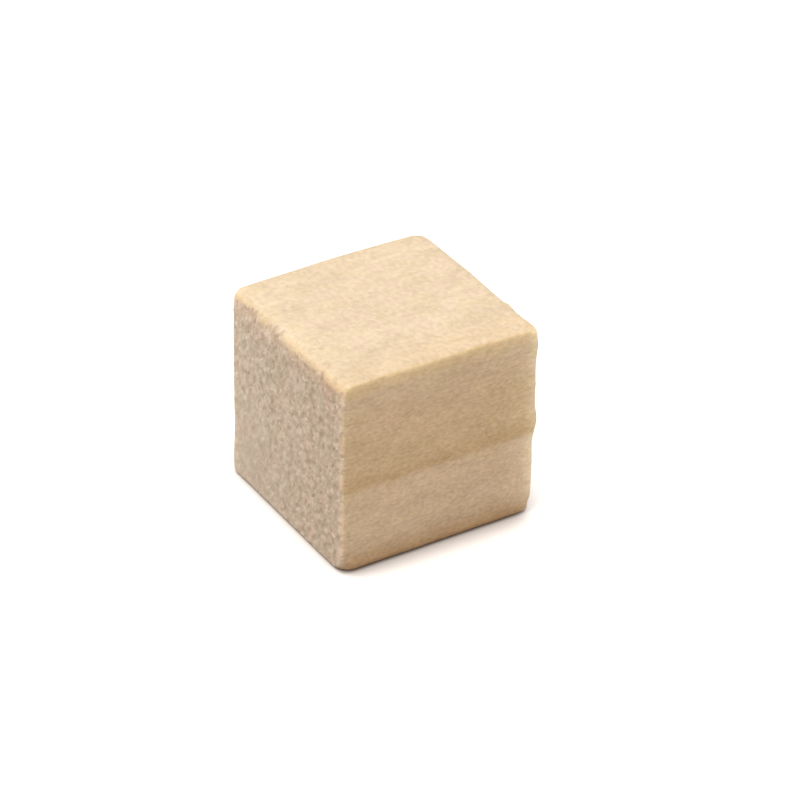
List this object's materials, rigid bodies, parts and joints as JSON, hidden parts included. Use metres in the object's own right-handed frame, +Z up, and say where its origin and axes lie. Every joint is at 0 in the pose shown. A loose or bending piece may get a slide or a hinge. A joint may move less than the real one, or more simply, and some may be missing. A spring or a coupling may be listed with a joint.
{
  "type": "wood block",
  "caption": "Small plain cube of pale hardwood with softened edges, sawn end grain on two faces and a single growth ring across it.",
  "frame": {"origin": "centre of the underside, where the block stands", "axes": "+Z up through the top face; +X along the grain, towards the end with the late-wood ridge; -Y is the long-grain front face"},
  "size_m": [0.0102, 0.0098, 0.0098],
  "materials": {
    "bare_hardwood": "matte"
  },
  "bodies": {
    "root": {"wood_block": "bare_hardwood"}
  },
  "joints": []
}
